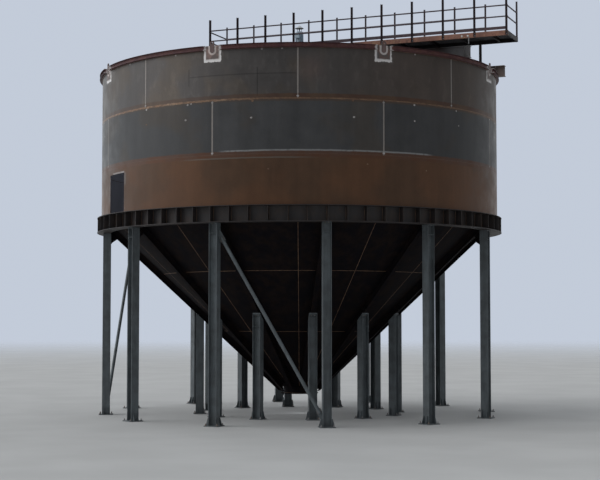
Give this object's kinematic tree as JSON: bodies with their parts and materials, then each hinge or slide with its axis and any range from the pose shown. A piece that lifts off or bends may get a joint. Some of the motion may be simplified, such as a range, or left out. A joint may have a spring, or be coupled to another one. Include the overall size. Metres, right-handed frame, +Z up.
{
  "type": "steel settling tank",
  "caption": "Raised cylindrical steel settling tank with a cone floor, ring girder, two rings of columns and a rail-guarded walkway bridge with a centre drive.",
  "frame": {"origin": "on the ground, at the middle of the footprint's bounding box; the tank axis is 0.62 m to -X of it because the walkway overhangs the +X side", "axes": "+Z up; X along the bridge, +X toward the walkway's overhanging end; the walkway lies on the -Y side of the tank axis"},
  "size_m": [14.31, 13.07, 12.69],
  "materials": {
    "shell_top_steel": "dull mill scale with light rust",
    "shell_middle_steel": "dull blue-grey mill scale",
    "shell_bottom_steel": "brown rusted mill scale",
    "curb_steel": "matt red-brown primer",
    "girder_steel": "dark rusty steel",
    "cone_steel": "dark rusty steel",
    "column_steel": "matt blue-grey steel",
    "bridge_steel": "matt red-brown primer",
    "grating_steel": "dull dark steel",
    "rail_steel": "dull dark steel",
    "drive_paint": "satin grey-green paint"
  },
  "bodies": {
    "root": {"shell_bottom_course_back": "shell_bottom_steel", "shell_middle_course_back": "shell_middle_steel", "shell_top_course_back": "shell_top_steel", "curb_and_lugs_back": "curb_steel", "ring_girder_back": "girder_steel", "shell_bottom_course_front": "shell_bottom_steel", "shell_middle_course_front": "shell_middle_steel", "shell_top_course_front": "shell_top_steel", "curb_and_lugs_front": "curb_steel", "ring_girder_front": "girder_steel", "cone_floor_right": "cone_steel", "cone_floor_back": "cone_steel", "cone_floor_left": "cone_steel", "cone_floor_front": "cone_steel", "underflow_outlet": "cone_steel", "outer_column_01": "column_steel", "outer_column_02": "column_steel", "outer_column_03": "column_steel", "outer_column_04": "column_steel", "outer_column_05": "column_steel", "outer_column_06": "column_steel", "outer_column_07": "column_steel", "outer_column_08": "column_steel", "outer_column_09": "column_steel", "outer_column_10": "column_steel", "outer_column_11": "column_steel", "outer_column_12": "column_steel", "inner_column_01": "column_steel", "inner_column_02": "column_steel", "inner_column_03": "column_steel", "inner_column_04": "column_steel", "inner_column_05": "column_steel", "inner_column_06": "column_steel", "inner_column_07": "column_steel", "inner_column_08": "column_steel", "inner_column_09": "column_steel", "inner_column_10": "column_steel", "inner_column_11": "column_steel", "inner_column_12": "column_steel", "brace_front": "column_steel", "brace_right": "column_steel", "brace_back": "column_steel", "brace_left": "column_steel", "bridge_girder_near": "bridge_steel", "bridge_girder_far": "bridge_steel", "drive_platform": "bridge_steel", "walkway_frame": "bridge_steel", "rim_post": "bridge_steel", "walkway_grating": "grating_steel", "handrail_outer": "rail_steel", "handrail_inner": "rail_steel", "drive_gearbox": "drive_paint", "drive_motor": "drive_paint", "rain_hat": "drive_paint"}
  },
  "joints": []
}
